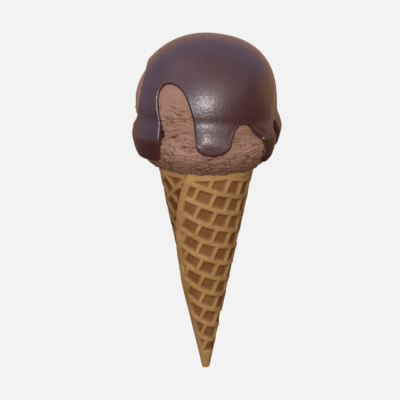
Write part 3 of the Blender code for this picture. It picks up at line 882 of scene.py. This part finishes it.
def trimmed_film():
    """The scoop's surface inside the coating's edge, and the layer that keeps each direction."""
    bm = bmesh.new()
    aim = bm.verts.layers.float_vector.new("aim")
    bmesh.ops.create_icosphere(bm, subdivisions=6, radius=1.0)
    for vert in bm.verts:
        vert[aim] = vert.co.normalized()
        vert.co = on_scoop(vert[aim])
    far = [vert for vert in bm.verts if from_edge(vert.co)[0] < -4]
    bmesh.ops.delete(bm, geom=far, context="VERTS")
    refine(bm, aim, list(bm.edges))
    middles = [(edge, (edge.verts[0].co + edge.verts[1].co) / 2) for edge in bm.edges]
    refine(bm, aim, [edge for edge, middle in middles if abs(from_edge(middle)[0]) < 2.2])
    bmesh.ops.triangulate(bm, faces=bm.faces)
    outside = [face for face in bm.faces if from_edge(face.calc_center_median())[0] < 0]
    bmesh.ops.delete(bm, geom=outside, context="FACES")
    for vert in bm.verts:
        if vert.is_boundary:
            index = from_edge(vert.co)[1]
            vert[aim] = EDGE_AIMS[index]
            vert.co = EDGE_POINTS[index]
    return bm, aim


def bridged(aim):
    """The film runs straight over the crease between ball and collar, less so on the left."""
    azimuth = math.degrees(math.atan2(aim.x, -aim.y))
    return on_scoop(aim, lerp(1.0, 0.7, smooth((-azimuth - 45) / 15)))


def make_coating():
    bm, aim = trimmed_film()
    number = bm.verts.layers.int.new("number")
    bmesh.ops.recalc_face_normals(bm, faces=bm.faces)
    inner = list(bm.verts)
    places = [vert.co.copy() for vert in inner]
    for vert in inner:
        vert.co = bridged(vert[aim])
    bm.normal_update()
    lifts = []
    for vert, place in zip(inner, places):
        distance, index = from_edge(place)
        lifts.append(lift_film(place, EDGE_POINTS[index], max(distance, 0.0), vert.normal))
        vert[number] = len(lifts) - 1
    new = bmesh.ops.extrude_face_region(bm, geom=list(bm.faces), use_keep_orig=True)["geom"]
    outer = [item for item in new if isinstance(item, bmesh.types.BMVert)]
    for vert in outer:
        vert.co += lifts[vert[number]]
    for vert, place in zip(inner, places):
        vert.co = place - (place - CENTRE).normalized() * 0.4
    bmesh.ops.recalc_face_normals(bm, faces=bm.faces)
    return hand_over(bm, "poured_coating", "chocolate_coat", set_chocolate())


make_coating()

# %% [markdown]
# ## Table and light
# The cone lies on a pale table that glows evenly, as a light table does, so that nothing throws a
# shadow on it. What bounces off the table onto the food is dimmer than the table looks, and it
# isn't the same everywhere: brown beside the wafer, warm and light round the scoop, and cool
# beyond it on the left, as if a window stood there. Four square softboxes hang over the table. A
# very large cool one covers everything above the cone, and the coating mirrors it as a violet
# sheen that ends in a soft line. Weaker ones stand to the left and in front, and a small bright
# one beside the camera gives the highlight.

# %% Light table
FLOOR_HALF = 6.0                            # metres, so that its rim is far off in every view
SCOOP_FOOT = 0.04                           # the scoop's middle on the table, in metres along +Y
WARM_FROM, WARM_TO = -0.02, 0.10            # places along +Y: brown before the first, warm after the second
COOL_FROM, COOL_TO = 0.096, 0.112           # distances from the scoop at which the cool ring sets in
COOL_WAY = (-math.sin(math.radians(20)), math.cos(math.radians(20)), 0.0)
COOL_SIDE = (0.02, 0.04)                    # and how far along that way


def light_table():
    made, tree, shader = new_material("opal acrylic light table", Roughness=0.9)
    shader.inputs["Base Color"].default_value = (0.0, 0.0, 0.0, 1.0)
    shader.inputs["Specular IOR Level"].default_value = 0.0
    shader.inputs["Emission Strength"].default_value = 1.0
    spot = add_node(tree, "NewGeometry").outputs["Position"]
    foot = (0.0, SCOOP_FOOT, 0.0)
    away = add_node(tree, "VectorMath", {1: foot}, {0: spot}, operation="SUBTRACT").outputs[0]
    distance = add_node(tree, "VectorMath", links={0: away}, operation="LENGTH").outputs["Value"]
    ahead = add_node(tree, "VectorMath", {1: COOL_WAY}, {0: away}, operation="DOT_PRODUCT")
    far = add_node(tree, "MapRange", {"From Min": COOL_FROM, "From Max": COOL_TO}, {"Value": distance},
                   interpolation_type="SMOOTHSTEP")
    cool_side = add_node(tree, "MapRange", {"From Min": COOL_SIDE[0], "From Max": COOL_SIDE[1]},
                         {"Value": ahead.outputs["Value"]}, interpolation_type="SMOOTHSTEP")
    cool = add_node(tree, "Math", links={0: far.outputs[0], 1: cool_side.outputs[0]}, operation="MULTIPLY")
    along = add_node(tree, "SeparateXYZ", links={"Vector": spot}).outputs["Y"]
    past_wafer = add_node(tree, "MapRange", {"From Min": WARM_FROM, "From Max": WARM_TO}, {"Value": along},
                          interpolation_type="SMOOTHSTEP")
    warm = add_node(tree, "Mix", {"A": to_linear("3A241A"), "B": to_linear("FFCDA6")},
                    {"Factor": past_wafer.outputs[0]}, data_type="RGBA")
    bounce = add_node(tree, "Mix", {"B": to_linear("BCBFF3")},
                      {"Factor": cool.outputs[0], "A": warm.outputs["Result"]}, data_type="RGBA")
    seen = add_node(tree, "LightPath").outputs["Is Camera Ray"]
    glow = add_node(tree, "Mix", {"B": to_linear("F2F2F2")}, {"Factor": seen, "A": bounce.outputs["Result"]},
                    data_type="RGBA")
    tree.links.new(glow.outputs["Result"], shader.inputs["Emission Color"])
    return made


bm = bmesh.new()
bmesh.ops.create_grid(bm, x_segments=2, y_segments=2, size=FLOOR_HALF)
floor_mesh = bpy.data.meshes.new("floor")
bm.to_mesh(floor_mesh)
bm.free()
floor = bpy.data.objects.new("floor", floor_mesh)
floor_mesh.materials.append(light_table())
bpy.context.scene.collection.objects.link(floor)
print("the table is", 2 * FLOOR_HALF, "m across")

# %% Lights
LIGHTS_FACE = 0.12                          # the height of the upright cone that they face, in metres


def softbox(name, azimuth, elevation, distance, size, radiance, colour, roll=0.0):
    """A square soft light that faces the scoop from a direction of the upright frame."""
    data = bpy.data.lights.new(name, "AREA")
    data.shape = "SQUARE"
    data.size = size
    data.energy = radiance * math.pi * size ** 2
    data.color = to_linear(colour)[:3]
    light = bpy.data.objects.new(name, data)
    low = math.radians(elevation)
    towards = around(math.cos(low), math.radians(azimuth), math.sin(low))
    direction = LAID.to_3x3() @ towards
    rolled_by = Matrix.Rotation(roll, 3, "Z").to_quaternion()
    turn = LAID.to_quaternion() @ towards.to_track_quat("Z", "Y") @ rolled_by
    place = LAID @ Vector((0, 0, LIGHTS_FACE)) + direction * distance
    light.matrix_world = Matrix.LocRotScale(place, turn, None)
    light.visible_camera = False
    bpy.context.scene.collection.objects.link(light)
    return light


softbox("sky_softbox", 2, 55, 0.70, 2.60, 0.74, "DEDFFF", roll=math.radians(-15))
softbox("left_softbox", -62, 32, 0.70, 1.10, 0.52, "DCDCFA")
softbox("window_softbox", 12, 22, 0.60, 0.40, 0.62, "FFF8F4")
softbox("camera_softbox", -3, 9.5, 0.60, 0.17, 27.0, "FBF7FB")

world = bpy.data.worlds.new("studio")
bpy.context.scene.world = world
world.use_nodes = True
room = world.node_tree
seen = add_node(room, "LightPath").outputs["Is Camera Ray"]
brown_and_pale = {"A": to_linear("574741"), "B": to_linear("F2F2F2")}
walls = add_node(room, "Mix", brown_and_pale, {"Factor": seen}, data_type="RGBA")
room.links.new(walls.outputs["Result"], room.nodes["Background"].inputs["Color"])
bpy.context.scene.view_settings.view_transform = "Standard"
